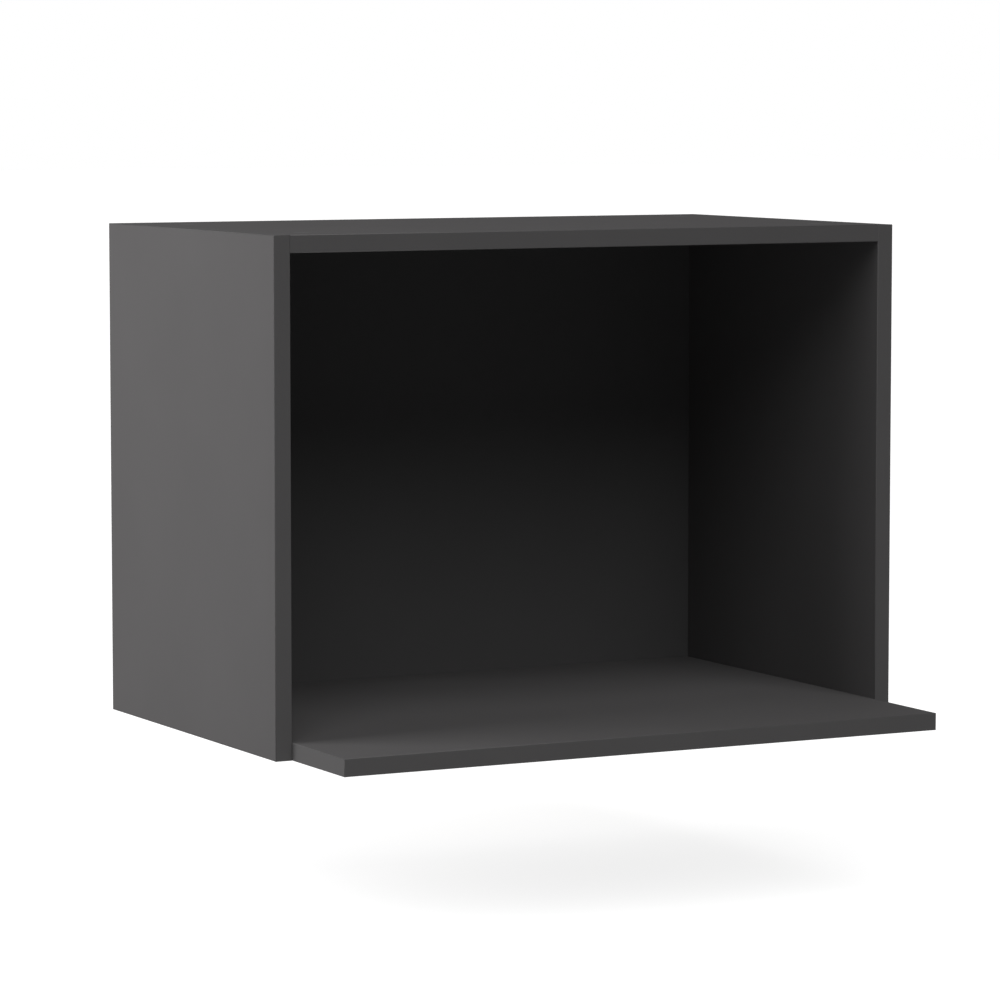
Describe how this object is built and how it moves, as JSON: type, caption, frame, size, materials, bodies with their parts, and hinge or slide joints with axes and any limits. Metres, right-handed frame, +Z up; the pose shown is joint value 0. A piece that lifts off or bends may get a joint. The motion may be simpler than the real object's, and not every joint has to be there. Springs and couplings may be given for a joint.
{
  "type": "wall cabinet",
  "caption": "Open graphite wall cabinet for a countertop appliance: two sides, a top and a back, with a deep shelf that reaches out in front of the sides.",
  "frame": {"origin": "on the underside, midway between the two sides and midway between the shelf's front edge and the wall plane", "axes": "+X to the right seen from the front, +Y back to the wall, +Z up"},
  "size_m": [0.6, 0.45, 0.436],
  "materials": {
    "graphite_board": "matt graphite melamine on 15 mm chipboard, raw at the hidden edges",
    "graphite_edging": "matt graphite edge band, 1 mm, glued",
    "back_hardboard": "3 mm hardboard, graphite lacquer in front, raw brown behind",
    "cam_zinc": "die-cast zinc, satin",
    "bolt_steel": "zinc-plated turned steel",
    "dowel_beech": "raw fluted beech",
    "cap_plastic": "matt graphite plastic"
  },
  "bodies": {
    "root": {"left_side_panel": "graphite_board", "right_side_panel": "graphite_board", "top_panel": "graphite_board", "base_panel": "graphite_board", "upper_batten": "graphite_board", "lower_batten": "graphite_board", "left_side_front_band": "graphite_edging", "left_side_top_band": "graphite_edging", "left_side_bottom_band": "graphite_edging", "right_side_front_band": "graphite_edging", "right_side_top_band": "graphite_edging", "right_side_bottom_band": "graphite_edging", "top_front_band": "graphite_edging", "base_front_band": "graphite_edging", "base_left_band": "graphite_edging", "base_right_band": "graphite_edging", "back_panel": "back_hardboard", "top_cam_locks": "cam_zinc", "base_cam_locks": "cam_zinc", "batten_cam_locks": "cam_zinc", "top_cam_bolts": "bolt_steel", "base_cam_bolts": "bolt_steel", "batten_cam_bolts": "bolt_steel", "top_dowels": "dowel_beech", "base_dowels": "dowel_beech", "batten_dowels": "dowel_beech", "top_cover_caps": "cap_plastic", "base_cover_caps": "cap_plastic"}
  },
  "joints": []
}
